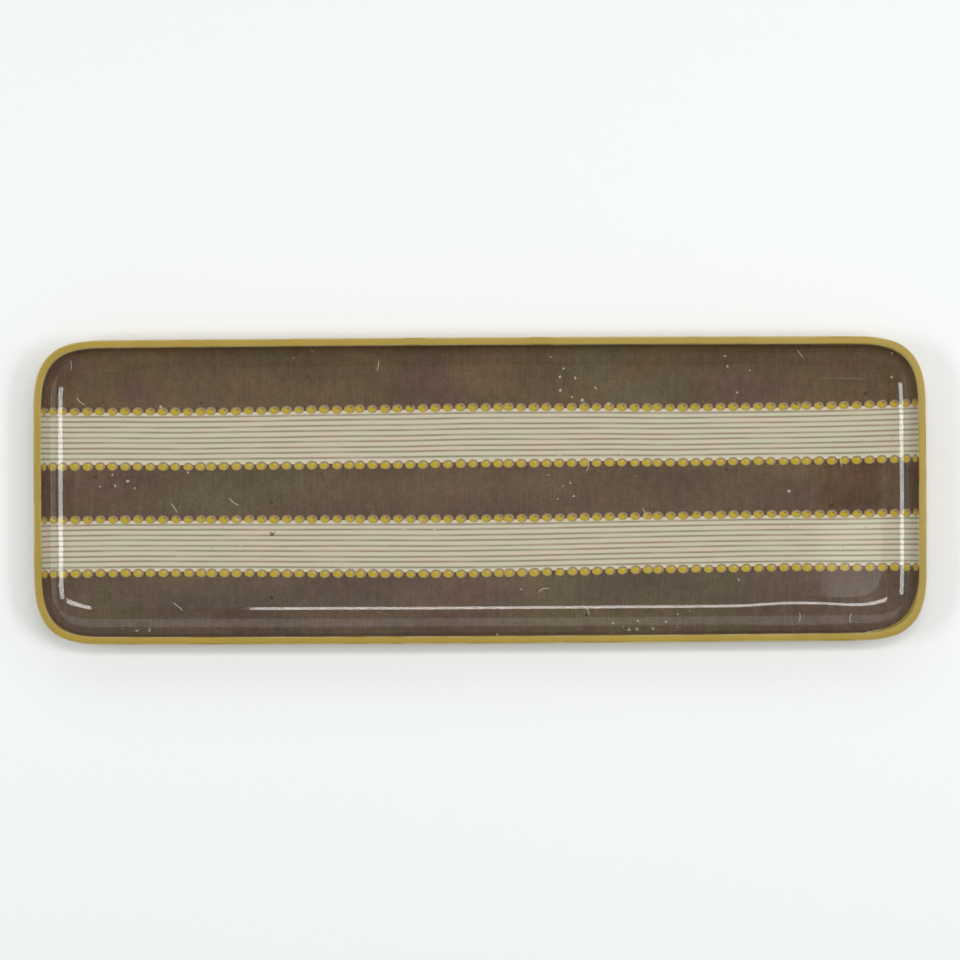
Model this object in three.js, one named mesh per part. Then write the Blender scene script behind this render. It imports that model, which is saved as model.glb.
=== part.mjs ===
// A long melamine serving tray, open at the top: one press-moulded body, a printed
// foil that lines its well, and a clear glaze over the foil.
// Millimetres, +Z up, +X along the tray, origin under the middle of the foot ring.
import * as THREE from 'three';

// Outline, seen from above
const trayLength = 380;
const trayWidth = 130.4;
const longSideBow = 0.6; // how far each long side bulges at its middle
const shortSideBow = 0.3;
const cornerExtent = 33; // how far a corner's curve runs along each side
const cornerExponent = 3.2; // 2 is a quarter circle, higher is squarer
const cornerShrink = 1.35; // how fast the curve gets shorter inwards from the rim
const cornerShareOfSide = 0.95; // most of half a side that a corner may take up

// Section through the rim, wall and floor
const trayHeight = 14.5;
const wallThickness = 3.3;
const wallAngle = THREE.MathUtils.degToRad(68); // from the floor's plane
const filletRadius = 9; // where the wall turns into the floor
const easeRadius = 18; // gentler curve that runs the fillet out into the flat floor
const easeAngle = THREE.MathUtils.degToRad(40);
const shoulderRadius = 1.2; // rounded outer edge of the rim
const rimEdgeRadius = 0.4; // slightly broken inner edge of the rim

// Low foot ring moulded under the base
const footHeight = 1;
const footWidth = 4;
const footSetBack = 3; // from the end of the base's curve in to the ring
const footTaper = 0.6; // how much each side of the ring leans in over its height

// Pressed layers that line the well
const bondGap = 0.05;
const foilThickness = 0.2;
const glazeThickness = 0.2;
const foilEdgeDrop = 0.5; // from the top of the rim down to the edge of the foil
const glazeEdgeDrop = 0.45;

// How finely the curves are divided
const shortSideSteps = 3;
const cornerSteps = 11;
const longSideSteps = 5;
const filletSteps = 4;
const easeSteps = 4;
const shoulderSteps = 4;
const rimEdgeSteps = 2;

// Section points are (inset, z): inset runs inwards from the tray's outer edge.
// wallNormal points from the well into the wall, down and outwards.
const floorTop = footHeight + wallThickness;
const straightDown = -Math.PI / 2;
const wallNormal = new THREE.Vector2(-Math.sin(wallAngle), -Math.cos(wallAngle));
const easeNormal = new THREE.Vector2(-Math.sin(easeAngle), -Math.cos(easeAngle));
const shoulderCentre = new THREE.Vector2(shoulderRadius, trayHeight - shoulderRadius);
const wallPoint = shoulderCentre.clone().addScaledVector(wallNormal, shoulderRadius - wallThickness);

// Inset of a line parallel to the wall's inner face, at a height, a distance into the wall
function insetOnWall(z, depthIntoWall) {
  return wallPoint.x + (depthIntoWall - (z - wallPoint.y) * wallNormal.y) / wallNormal.x;
}

const centreSpread = easeRadius - filletRadius;
const filletCentreZ = floorTop + easeRadius + centreSpread * easeNormal.y;
const filletCentre = new THREE.Vector2(insetOnWall(filletCentreZ, -filletRadius), filletCentreZ);
const easeCentre = filletCentre.clone().addScaledVector(easeNormal, -centreSpread);

function arcPoints(centre, radius, fromAngle, toAngle, steps) {
  const turnsDown = toAngle < fromAngle;
  const arc = new THREE.EllipseCurve(centre.x, centre.y, radius, radius, fromAngle, toAngle, turnsDown);
  return arc.getPoints(steps);
}

// Floor's edge to the top of the wall, a distance off the body's inner face:
// positive towards the well, negative into the wall
function wallSection(offset, topZ) {
  const easeEnd = straightDown - easeAngle;
  const filletEnd = straightDown - wallAngle;
  const ease = arcPoints(easeCentre, easeRadius - offset, straightDown, easeEnd, easeSteps);
  const fillet = arcPoints(filletCentre, filletRadius - offset, easeEnd, filletEnd, filletSteps);
  const points = ease.concat(fillet.slice(1));
  if (topZ !== undefined) {
    points.push(new THREE.Vector2(insetOnWall(topZ, -offset), topZ));
  }
  return points;
}

// One closed ring of points round the tray, a distance in from its outer edge
function outlineAt(inset) {
  const halfLength = trayLength / 2 - shortSideBow - inset;
  const halfWidth = trayWidth / 2 - longSideBow - inset;
  const shrunkExtent = cornerExtent * Math.exp((-cornerShrink * inset) / cornerExtent);
  const extent = Math.min(shrunkExtent, cornerShareOfSide * Math.min(halfLength, halfWidth));
  const quarter = [];
  for (let i = 0; i < shortSideSteps; i += 1) {
    quarter.push(new THREE.Vector2(halfLength, ((halfWidth - extent) * i) / shortSideSteps));
  }
  for (let i = 0; i <= cornerSteps; i += 1) {
    const angle = (Math.PI / 2) * (i / cornerSteps);
    const alongX = Math.abs(Math.cos(angle)) ** (2 / cornerExponent);
    const alongY = Math.abs(Math.sin(angle)) ** (2 / cornerExponent);
    quarter.push(new THREE.Vector2(
      halfLength - extent * (1 - alongX),
      halfWidth - extent * (1 - alongY),
    ));
  }
  for (let i = 1; i <= longSideSteps; i += 1) {
    quarter.push(new THREE.Vector2((halfLength - extent) * (1 - i / longSideSteps), halfWidth));
  }
  const bowed = quarter.map((point) => new THREE.Vector2(
    point.x + shortSideBow * (1 - (point.y / halfWidth) ** 2),
    point.y + longSideBow * (1 - (point.x / halfLength) ** 2),
  ));
  const farQuarter = bowed.slice(0, -1).reverse().map((point) => new THREE.Vector2(-point.x, point.y));
  const half = bowed.concat(farQuarter);
  const otherHalf = half.slice(1, -1).reverse().map((point) => new THREE.Vector2(point.x, -point.y));
  return half.concat(otherHalf);
}

// Closed solid that carries a section round the tray, with a flat face across each end of it.
// The section starts at the upper flat face and ends at the lower one.
function solidFromSection(section) {
  const rings = section.map((point) => outlineAt(point.x));
  const ringLength = rings[0].length;
  const positions = [];
  rings.forEach((ring, row) => {
    ring.forEach((point) => positions.push(point.x, point.y, section[row].y));
  });
  const upperCentre = section.length * ringLength;
  const lowerCentre = upperCentre + 1;
  positions.push(0, 0, section[0].y);
  positions.push(0, 0, section[section.length - 1].y);
  const triangles = [];
  const lastRow = (section.length - 1) * ringLength;
  for (let i = 0; i < ringLength; i += 1) {
    const next = (i + 1) % ringLength;
    triangles.push(upperCentre, i, next);
    triangles.push(lowerCentre, lastRow + next, lastRow + i);
    for (let row = 0; row < lastRow; row += ringLength) {
      const above = row + ringLength;
      triangles.push(row + i, above + i, row + next);
      triangles.push(row + next, above + i, above + next);
    }
  }
  const geometry = new THREE.BufferGeometry();
  geometry.setAttribute('position', new THREE.Float32BufferAttribute(positions, 3));
  geometry.setIndex(triangles);
  geometry.computeVertexNormals();
  return geometry;
}

function namedMesh(name, geometry, material) {
  const mesh = new THREE.Mesh(geometry, material);
  mesh.name = name;
  return mesh;
}

// Press-moulded body: well, flat-topped rim, outer wall, base and foot ring in one piece
function trayBody() {
  const rimEdgeCentreZ = trayHeight - rimEdgeRadius;
  const rimEdgeCentre = new THREE.Vector2(insetOnWall(rimEdgeCentreZ, rimEdgeRadius), rimEdgeCentreZ);
  const straightUp = Math.PI / 2;
  const wellFacing = straightUp - wallAngle;
  const rimEdge = arcPoints(rimEdgeCentre, rimEdgeRadius, wellFacing, straightUp, rimEdgeSteps);
  const outFacing = wellFacing + Math.PI;
  const shoulder = arcPoints(shoulderCentre, shoulderRadius, straightUp, outFacing, shoulderSteps);
  const underside = wallSection(-wallThickness).reverse();
  const footOuter = easeCentre.x + footSetBack;
  const footInner = footOuter + footWidth;
  const foot = [
    new THREE.Vector2(footOuter, footHeight),
    new THREE.Vector2(footOuter + footTaper, 0),
    new THREE.Vector2(footInner - footTaper, 0),
    new THREE.Vector2(footInner, footHeight),
  ];
  const section = [...wallSection(0), ...rimEdge, ...shoulder, ...underside, ...foot];
  const material = new THREE.MeshStandardMaterial({ color: '#a88f41', roughness: 0.3, metalness: 0 });
  return namedMesh('tray_body', solidFromSection(section), material);
}

// Thin layer that follows the well's floor and wall and ends just below the top of the rim
function liningLayer(name, lowerOffset, thickness, edgeDrop, material) {
  const topZ = trayHeight - edgeDrop;
  const upperFace = wallSection(lowerOffset + thickness, topZ);
  const lowerFace = wallSection(lowerOffset, topZ).reverse();
  return namedMesh(name, solidFromSection([...upperFace, ...lowerFace]), material);
}

function decorFoil() {
  const material = new THREE.MeshStandardMaterial({ color: '#62564b', roughness: 0.5, metalness: 0 });
  return liningLayer('decor_foil', bondGap, foilThickness, foilEdgeDrop, material);
}

function clearGlaze() {
  const lowerOffset = bondGap + foilThickness + bondGap;
  const material = new THREE.MeshStandardMaterial({
    color: '#f2efe6',
    roughness: 0.08,
    metalness: 0,
    transparent: true,
    opacity: 0.2,
  });
  return liningLayer('clear_glaze', lowerOffset, glazeThickness, glazeEdgeDrop, material);
}

const tray = new THREE.Group();
tray.add(trayBody(), decorFoil(), clearGlaze());

export default tray;
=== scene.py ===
import math

import bpy
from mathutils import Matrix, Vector


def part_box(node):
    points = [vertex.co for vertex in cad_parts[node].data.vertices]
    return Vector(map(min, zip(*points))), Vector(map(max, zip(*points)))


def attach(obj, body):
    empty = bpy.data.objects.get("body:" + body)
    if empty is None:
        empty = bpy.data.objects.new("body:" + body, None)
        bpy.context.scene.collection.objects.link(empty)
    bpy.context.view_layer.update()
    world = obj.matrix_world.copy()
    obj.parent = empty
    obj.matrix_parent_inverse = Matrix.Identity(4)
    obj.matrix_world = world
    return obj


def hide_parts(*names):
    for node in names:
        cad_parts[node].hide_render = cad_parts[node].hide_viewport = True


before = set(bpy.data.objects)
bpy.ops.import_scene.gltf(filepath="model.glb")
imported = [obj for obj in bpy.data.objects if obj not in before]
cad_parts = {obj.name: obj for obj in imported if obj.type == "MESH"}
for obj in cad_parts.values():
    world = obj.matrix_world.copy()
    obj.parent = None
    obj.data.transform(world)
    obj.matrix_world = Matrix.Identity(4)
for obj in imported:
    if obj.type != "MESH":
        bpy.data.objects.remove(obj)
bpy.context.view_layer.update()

MM = 0.001

# Camera
# The tray is seen from straight above through a long lens, lying along the picture and
# turned a third of a degree. The lens is set so that the rim spans what it does in the picture.
PICTURE_SIDE = 960
RIM_SPAN_PIXELS = 893.6
TRAY_CENTRE_PIXELS = Vector((480.0, 490.5))
CAMERA_ABOVE_RIM = 1.4
CAMERA_TURN = math.radians(-0.31)
SENSOR_WIDTH = 36.0

tray_low, tray_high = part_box("tray_body")
metres_per_pixel = (tray_high.x - tray_low.x) / RIM_SPAN_PIXELS
picture_width = PICTURE_SIDE * metres_per_pixel
camera_data = bpy.data.cameras.new("overhead_camera")
camera_data.sensor_width = SENSOR_WIDTH
camera_data.lens = SENSOR_WIDTH * CAMERA_ABOVE_RIM / picture_width
camera = bpy.data.objects.new("overhead_camera", camera_data)
bpy.context.collection.objects.link(camera)
off_centre = (TRAY_CENTRE_PIXELS - Vector((PICTURE_SIDE / 2, PICTURE_SIDE / 2))) * metres_per_pixel
camera.location = (-off_centre.x, off_centre.y, tray_high.z + CAMERA_ABOVE_RIM)
camera.rotation_euler = (0, 0, CAMERA_TURN)
bpy.context.scene.camera = camera

# Floor and light
# A white table top in a dim white room. A soft lamp to each side is reflected in the far end's
# curve as a bright strip, and a long thin one at the back as a line in the front curve. Paler
# patches of the room are seen in the gloss. The camera itself sees a white backdrop.
FLOOR_HALF_SIDE = 3.0
FLOOR_DROP = 0.03 * MM
FLOOR_COLOUR = (0.98, 0.98, 0.98, 1)
FLOOR_ROUGHNESS = 0.9
ROOM_RADIANCE = 0.27
ROOM_PATCHES = (
    {"to_right": (-0.125, 0.125), "to_back": (-0.85, 0.3), "softness": 0.05, "radiance": 0.25},
    {"to_right": (0.103, 0.128), "to_back": (-0.06, -0.0125), "softness": 0.002, "radiance": 1.3},
    {"to_right": (0.104, 0.128), "to_back": (-0.0125, 0.01), "softness": 0.002, "radiance": -0.35},
    {"to_right": (-1.7, 1.7), "to_back": (1.1, 3.2), "softness": 0.05, "radiance": 0.85},
    {"to_right": (-1.7, 1.7), "to_back": (-3.2, -1.1), "softness": 0.2, "radiance": 0.12},
    {"to_right": (2.5, 3.1), "to_back": (-1.1, 1.1), "softness": 0.05, "radiance": 2.2},
    {"to_right": (1.6, 2.3), "to_back": (-1.1, 1.1), "softness": 0.05, "radiance": 0.9},
    {"to_right": (-2.6, -2.05), "to_back": (-1.1, 1.1), "softness": 0.05, "radiance": 0.6},
)
LOWEST_SLOPE = 0.02
LAMP_DISTANCE = 1.3
LEFT_LAMP_TILT = math.radians(50)
LEFT_LAMP_SIZE = (0.25, 0.52)
LEFT_LAMP_RADIANCE = 8.4
RIGHT_LAMP_TILT = math.radians(43.2)
RIGHT_LAMP_SIZE = (0.27, 0.52)
RIGHT_LAMP_RADIANCE = 8.4
SIDE_LAMP_COLOUR = (0.9, 0.97, 1.0)
BACK_LAMP_TILT = math.radians(19)
BACK_LAMP_SIZE = (0.79, 0.16)
BACK_LAMP_SHIFT = 0.205
BACK_LAMP_RADIANCE = 9.4
BACK_LAMP_COLOUR = (1.0, 0.97, 0.94)


def strip_lamp(name, place, turn, size, radiance, colour):
    data = bpy.data.lights.new(name, "AREA")
    data.shape = "RECTANGLE"
    data.size = size[0]
    data.size_y = size[1]
    data.color = colour
    data.energy = math.pi * radiance * size[0] * size[1]
    lamp = bpy.data.objects.new(name, data)
    lamp.location = place
    lamp.rotation_euler = turn
    bpy.context.collection.objects.link(lamp)


def operator(name, swapped=False):
    """A method that adds a math node for its field and any other value, which is first if swapped."""

    def method(field, *others):
        values = (*others, field) if swapped else (field, *others)
        return math_node(name, *values)

    return method


class Field:
    """What a node puts out at each point. Sums and comparisons of it add math nodes to its tree."""

    def __init__(self, socket):
        self.socket = socket
        self.tree = socket.id_data

    __add__ = operator("ADD")
    __radd__ = operator("ADD", swapped=True)
    __sub__ = operator("SUBTRACT")
    __rsub__ = operator("SUBTRACT", swapped=True)
    __mul__ = operator("MULTIPLY")
    __rmul__ = operator("MULTIPLY", swapped=True)
    __truediv__ = operator("DIVIDE")
    __rtruediv__ = operator("DIVIDE", swapped=True)
    __pow__ = operator("POWER")
    __mod__ = operator("FLOORED_MODULO")
    __lt__ = operator("LESS_THAN")
    __gt__ = operator("GREATER_THAN")
    __abs__ = operator("ABSOLUTE")
    __round__ = operator("ROUND")


def tree_of(*values):
    """The node tree that the first field among the values belongs to."""
    return next(value.tree for value in values if isinstance(value, Field))


def node_field(tree, kind, output):
    """The field of one output of a new node."""
    return Field(tree.nodes.new(kind).outputs[output])


def feed(socket, value):
    """Links an input of a node to a field or to another node's output, or sets it to a value."""
    if isinstance(value, Field):
        value = value.socket
    if isinstance(value, bpy.types.NodeSocket):
        socket.id_data.links.new(value, socket)
    else:
        socket.default_value = value


def math_node(operation, *values):
    node = tree_of(*values).nodes.new("ShaderNodeMath")
    node.operation = operation
    for socket, value in zip(node.inputs, values):
        feed(socket, value)
    return Field(node.outputs["Value"])


def vector_parts(vector):
    node = vector.tree.nodes.new("ShaderNodeSeparateXYZ")
    feed(node.inputs["Vector"], vector)
    return [Field(part) for part in node.outputs]


def eased(value, low, high):
    """0 up to low, 1 from high on, and a smooth step between them."""
    node = value.tree.nodes.new("ShaderNodeMapRange")
    node.interpolation_type = "SMOOTHSTEP"
    feed(node.inputs["Value"], value)
    feed(node.inputs["From Min"], low)
    feed(node.inputs["From Max"], high)
    return Field(node.outputs["Result"])


def between(value, low, high, softness):
    """1 from low to high and 0 outside, with soft edges."""
    above_low = eased(value, low - softness, low + softness)
    below_high = eased(value, high + softness, high - softness)
    return above_low * below_high


floor_mesh = bpy.data.meshes.new("table_top")
side = FLOOR_HALF_SIDE
floor_corners = [(-side, -side), (side, -side), (side, side), (-side, side)]
floor_mesh.from_pydata([(x, y, -FLOOR_DROP) for x, y in floor_corners], [], [(0, 1, 2, 3)])
floor_material = bpy.data.materials.new("white_table")
floor_material.use_nodes = True
floor_shader = floor_material.node_tree.nodes["Principled BSDF"]
floor_shader.inputs["Base Color"].default_value = FLOOR_COLOUR
floor_shader.inputs["Roughness"].default_value = FLOOR_ROUGHNESS
floor_mesh.materials.append(floor_material)
table_top = bpy.data.objects.new("table_top", floor_mesh)
bpy.context.collection.objects.link(table_top)

world = bpy.data.worlds.new("white_room")
world.use_nodes = True
sky = world.node_tree
sky_x, sky_y, sky_z = vector_parts(node_field(sky, "ShaderNodeTexCoord", "Generated"))
sky_up = math_node("MAXIMUM", sky_z, LOWEST_SLOPE)
sky_right = sky_x / sky_up
sky_back = sky_y / sky_up
sky_radiance = ROOM_RADIANCE
for patch in ROOM_PATCHES:
    in_width = between(sky_right, *patch["to_right"], patch["softness"])
    in_depth = between(sky_back, *patch["to_back"], patch["softness"])
    sky_radiance = sky_radiance + in_width * in_depth * patch["radiance"]
background = sky.nodes["Background"]
background.inputs["Color"].default_value = (1, 1, 1, 1)
to_camera = node_field(sky, "ShaderNodeLightPath", "Is Camera Ray")
feed(background.inputs["Strength"], math_node("MAXIMUM", sky_radiance, to_camera))
bpy.context.scene.world = world
bpy.context.scene.view_settings.view_transform = "Standard"

left_lamp_place = (
    tray_high.x - LAMP_DISTANCE * math.sin(LEFT_LAMP_TILT),
    0,
    LAMP_DISTANCE * math.cos(LEFT_LAMP_TILT),
)
right_lamp_place = (
    tray_low.x + LAMP_DISTANCE * math.sin(RIGHT_LAMP_TILT),
    0,
    LAMP_DISTANCE * math.cos(RIGHT_LAMP_TILT),
)
back_lamp_place = (
    BACK_LAMP_SHIFT,
    tray_low.y + LAMP_DISTANCE * math.sin(BACK_LAMP_TILT),
    LAMP_DISTANCE * math.cos(BACK_LAMP_TILT),
)
left_lamp_look = (LEFT_LAMP_SIZE, LEFT_LAMP_RADIANCE, SIDE_LAMP_COLOUR)
right_lamp_look = (RIGHT_LAMP_SIZE, RIGHT_LAMP_RADIANCE, SIDE_LAMP_COLOUR)
back_lamp_look = (BACK_LAMP_SIZE, BACK_LAMP_RADIANCE, BACK_LAMP_COLOUR)
strip_lamp("left_lamp", left_lamp_place, (0, -LEFT_LAMP_TILT, 0), *left_lamp_look)
strip_lamp("right_lamp", right_lamp_place, (0, RIGHT_LAMP_TILT, 0), *right_lamp_look)
strip_lamp("back_lamp", back_lamp_place, (-BACK_LAMP_TILT, 0, 0), *back_lamp_look)

# Tray body
# One press-moulding in mustard melamine, the same colour right through: the floor and walls,
# a flat-topped rim with a rounded outer shoulder, and a low foot ring that the tray stands on.
# Its section, a row of arcs and lines, runs round a rounded outline that gets tighter inwards.
LONG_SIDE_BOW = 0.6 * MM
SHORT_SIDE_BOW = 0.3 * MM
CORNER_EXTENT = 33 * MM
CORNER_EXPONENT = 3.2
CORNER_SHRINK = 1.35
CORNER_SHARE_OF_SIDE = 0.95
WALL_THICKNESS = 3.3 * MM
WALL_ANGLE = math.radians(68)
FILLET_RADIUS = 9 * MM
EASE_RADIUS = 18 * MM
EASE_ANGLE = math.radians(40)
SHOULDER_RADIUS = 1.2 * MM
RIM_EDGE_RADIUS = 0.4 * MM
FOOT_HEIGHT = 1 * MM
FOOT_WIDTH = 4 * MM
FOOT_SET_BACK = 3 * MM
FOOT_TAPER = 0.6 * MM
DEEPEST_RING = 60 * MM
FLOOR_RINGS = 14
END_STEPS = 12
CORNER_STEPS = 40
SIDE_STEPS = 44
EASE_STEPS = 20
FILLET_STEPS = 10
WALL_STEPS = 4
SHOULDER_STEPS = 8
RIM_EDGE_STEPS = 4
WELD_DISTANCE = 0.002 * MM
CREASE_ANGLE = math.radians(35)
EMPTY_SLOT = 0  # the grid node puts an empty material slot first
EDGE_SHARE_OF_FILLET = 0.5
RIPPLE_HEIGHT = 0.08 * MM
RIPPLE_LENGTH = 32 * MM
RIPPLE_SEED = 4.7
SWELL_PLACE = (135 * MM, -54.5 * MM)
SWELL_REACH = (26 * MM, 9 * MM)
SWELL_HEIGHT = 0.35 * MM
SURFACE_IOR = 1.52

tray_height = tray_high.z
floor_top = FOOT_HEIGHT + WALL_THICKNESS
wall_normal = Vector((-math.sin(WALL_ANGLE), -math.cos(WALL_ANGLE)))
ease_normal = Vector((-math.sin(EASE_ANGLE), -math.cos(EASE_ANGLE)))
shoulder_centre = Vector((SHOULDER_RADIUS, tray_height - SHOULDER_RADIUS))
wall_point = shoulder_centre + wall_normal * (SHOULDER_RADIUS - WALL_THICKNESS)


def inset_on_wall(z, depth_into_wall):
    """Inset of a line parallel to the wall's inner face, at a height, a distance into the wall."""
    return wall_point.x + (depth_into_wall - (z - wall_point.y) * wall_normal.y) / wall_normal.x


centre_spread = EASE_RADIUS - FILLET_RADIUS
fillet_centre_z = floor_top + EASE_RADIUS + centre_spread * ease_normal.y
fillet_centre = Vector((inset_on_wall(fillet_centre_z, -FILLET_RADIUS), fillet_centre_z))
ease_centre = fillet_centre - ease_normal * centre_spread
floor_edge = ease_centre.x


def section_row(inset, z, flat=None, well=0.0, middle=0.0, edge=0.0, lean=0.0):
    """One ring of the shell: its inset and height, its inset in the flat sheet, and where it lies."""
    return {
        "place": (inset, inset if flat is None else flat, z),
        "well_side": well,
        "middle": middle,
        "lining_edge": edge,
        "lean": lean,
    }


def arc_rows(centre, radius, start, stop, steps):
    """Rows along an arc that starts and stops at angles from straight out along the inset."""
    rows = []
    for step in range(steps + 1):
        angle = start + (stop - start) * step / steps
        rows.append(section_row(centre.x + radius * math.cos(angle), centre.y + radius * math.sin(angle)))
    return rows


def floor_rows(z, well):
    """The middle of the tray and the rings between it and the edge of the flat floor."""
    rows = [section_row(DEEPEST_RING, z, well=well, middle=1.0)]
    for ring in range(FLOOR_RINGS):
        inset = DEEPEST_RING + (floor_edge - DEEPEST_RING) * ring / FLOOR_RINGS
        rows.append(section_row(inset, z, well=well))
    return rows


def wall_rows(offset, top_z, well):
    """Rows from the floor's edge up the wall, a distance off the body's inner face towards the well."""
    rows = []
    for step in range(EASE_STEPS + 1):
        angle = EASE_ANGLE * step / EASE_STEPS
        inset = ease_centre.x - (EASE_RADIUS - offset) * math.sin(angle)
        z = ease_centre.y - (EASE_RADIUS - offset) * math.cos(angle)
        rows.append(section_row(inset, z, floor_edge - EASE_RADIUS * angle, well))
    for step in range(1, FILLET_STEPS + 1):
        angle = EASE_ANGLE + (WALL_ANGLE - EASE_ANGLE) * step / FILLET_STEPS
        inset = fillet_centre.x - (FILLET_RADIUS - offset) * math.sin(angle)
        z = fillet_centre.y - (FILLET_RADIUS - offset) * math.cos(angle)
        flat = floor_edge - EASE_RADIUS * EASE_ANGLE - FILLET_RADIUS * (angle - EASE_ANGLE)
        edge = EDGE_SHARE_OF_FILLET * step / FILLET_STEPS
        rows.append(section_row(inset, z, flat, well, edge=edge, lean=angle))
    fillet_end = rows[-1]["place"]
    for step in range(1, WALL_STEPS + 1):
        z = fillet_end[2] + (top_z - fillet_end[2]) * step / WALL_STEPS
        flat = fillet_end[1] - (z - fillet_end[2]) / math.sin(WALL_ANGLE)
        edge = EDGE_SHARE_OF_FILLET + (1 - EDGE_SHARE_OF_FILLET) * step / WALL_STEPS
        rows.append(section_row(inset_on_wall(z, -offset), z, flat, well, edge=edge, lean=WALL_ANGLE))
    return rows


def clamped(value, low=0.0, high=1.0):
    raised = math_node("MAXIMUM", value, low)
    return math_node("MINIMUM", raised, high)


def length_node(x, y):
    return math_node("SQRT", x * x + y * y)


def vector_node(x, y, z):
    node = tree_of(x, y, z).nodes.new("ShaderNodeCombineXYZ")
    for socket, value in zip(node.inputs, (x, y, z)):
        feed(socket, value)
    return Field(node.outputs["Vector"])


def fields(outputs):
    """The fields of a node's outputs, by their names."""
    return {socket.name: Field(socket) for socket in outputs if socket.name}


def new_tree(name, kind, inputs, outputs):
    """Makes a node group, and returns it with the fields it is given and the inputs of its result."""
    tree = bpy.data.node_groups.new(name, kind)
    for socket_name, socket_kind in inputs:
        tree.interface.new_socket(socket_name, in_out="INPUT", socket_type=socket_kind)
    for socket_name, socket_kind in outputs:
        tree.interface.new_socket(socket_name, in_out="OUTPUT", socket_type=socket_kind)
    given = fields(tree.nodes.new("NodeGroupInput").outputs)
    result = tree.nodes.new("NodeGroupOutput").inputs
    return tree, given, result


FLOAT = "NodeSocketFloat"
OUTLINE_INPUTS = [
    ("Length", FLOAT),
    ("Width", FLOAT),
    ("Long Side Bow", FLOAT),
    ("Short Side Bow", FLOAT),
    ("Corner Extent", FLOAT),
    ("Corner Exponent", FLOAT),
    ("Corner Shrink", FLOAT),
]
STATION_INPUTS = [
    ("Inset", FLOAT),
    ("Along Short Side", FLOAT),
    ("Corner Turn", FLOAT),
    ("Along Long Side", FLOAT),
    ("Side X", FLOAT),
    ("Side Y", FLOAT),
]


def outline_group():
    """Place on the tray's rounded outline, an inset in from its outer edge."""
    tree, given, result = new_tree(
        "tray_outline",
        "GeometryNodeTree",
        OUTLINE_INPUTS + STATION_INPUTS,
        [("X", FLOAT), ("Y", FLOAT), ("Outward X", FLOAT), ("Outward Y", FLOAT)],
    )
    half_length = given["Length"] * 0.5 - given["Short Side Bow"] - given["Inset"]
    half_width = given["Width"] * 0.5 - given["Long Side Bow"] - given["Inset"]
    shrink = given["Corner Shrink"] * given["Inset"] / given["Corner Extent"]
    extent = given["Corner Extent"] * math_node("EXPONENT", shrink * -1.0)
    most = math_node("MINIMUM", half_length, half_width) * CORNER_SHARE_OF_SIDE
    extent = math_node("MINIMUM", extent, most)
    exponent = given["Corner Exponent"]
    toward_x = abs(math_node("COSINE", given["Corner Turn"]))
    toward_y = abs(math_node("SINE", given["Corner Turn"]))
    reach = extent * (toward_x ** exponent + toward_y ** exponent) ** (-1.0 / exponent)
    straight_x = half_length - extent
    straight_y = half_width - extent
    x = straight_x - straight_x * given["Along Long Side"] + reach * toward_x
    y = straight_y * given["Along Short Side"] + reach * toward_y
    bow_x = given["Short Side Bow"] * (1.0 - (y / half_width) ** 2.0)
    bow_y = given["Long Side Bow"] * (1.0 - (x / half_length) ** 2.0)
    slope_power = exponent - 1.0
    outward_x = toward_x ** slope_power
    outward_y = toward_y ** slope_power
    outward_length = length_node(outward_x, outward_y)
    feed(result["X"], (x + bow_x) * given["Side X"])
    feed(result["Y"], (y + bow_y) * given["Side Y"])
    feed(result["Outward X"], outward_x / outward_length * given["Side X"])
    feed(result["Outward Y"], outward_y / outward_length * given["Side Y"])
    return tree


SHELL_INPUTS = OUTLINE_INPUTS + [
    ("Flat Length", FLOAT),
    ("Flat Width", FLOAT),
    ("Short Side Steps", "NodeSocketInt"),
    ("Corner Steps", "NodeSocketInt"),
    ("Long Side Steps", "NodeSocketInt"),
    ("Ripple Height", FLOAT),
    ("Ripple Length", FLOAT),
    ("Ripple Seed", FLOAT),
    ("Edge Trim", FLOAT),
    ("Edge Trim Length", FLOAT),
    ("Short Corner X", FLOAT),
    ("Short Corner Y", FLOAT),
    ("Short Corner Reach", FLOAT),
    ("Short Corner Trim", FLOAT),
    ("Swell X", FLOAT),
    ("Swell Y", FLOAT),
    ("Swell Reach X", FLOAT),
    ("Swell Reach Y", FLOAT),
    ("Swell Height", FLOAT),
    ("Material", "NodeSocketMaterial"),
]


def stored_field(tree, name, kind):
    """Field that reads a value stored on the geometry, by its name."""
    node = tree.nodes.new("GeometryNodeInputNamedAttribute")
    node.data_type = kind
    node.inputs["Name"].default_value = name
    return Field(node.outputs["Attribute"])


def section_value(section, row, source, kind):
    """A field of the section, read at the row that each point of the shell belongs to."""
    node = row.tree.nodes.new("GeometryNodeSampleIndex")
    node.data_type = kind
    node.domain = "POINT"
    feed(node.inputs["Geometry"], section)
    feed(node.inputs["Value"], source)
    feed(node.inputs["Index"], row)
    return Field(node.outputs["Value"])


def stored(geometry, name, kind, domain, value):
    node = value.tree.nodes.new("GeometryNodeStoreNamedAttribute")
    node.data_type = kind
    node.domain = domain
    node.inputs["Name"].default_value = name
    feed(node.inputs["Geometry"], geometry)
    feed(node.inputs["Value"], value)
    return node.outputs["Geometry"]


def noise_field(place, size, seed):
    """Smooth noise from 0 to 1 whose lumps are about the given size."""
    scaled = place.tree.nodes.new("ShaderNodeVectorMath")
    scaled.operation = "SCALE"
    feed(scaled.inputs["Vector"], place)
    feed(scaled.inputs["Scale"], 1.0 / size)
    texture = place.tree.nodes.new("ShaderNodeTexNoise")
    texture.noise_dimensions = "4D"
    feed(texture.inputs["Vector"], scaled.outputs["Vector"])
    texture.inputs["Scale"].default_value = 1.0
    texture.inputs["Detail"].default_value = 0.0
    feed(texture.inputs["W"], seed)
    return Field(texture.outputs["Fac"])


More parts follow.
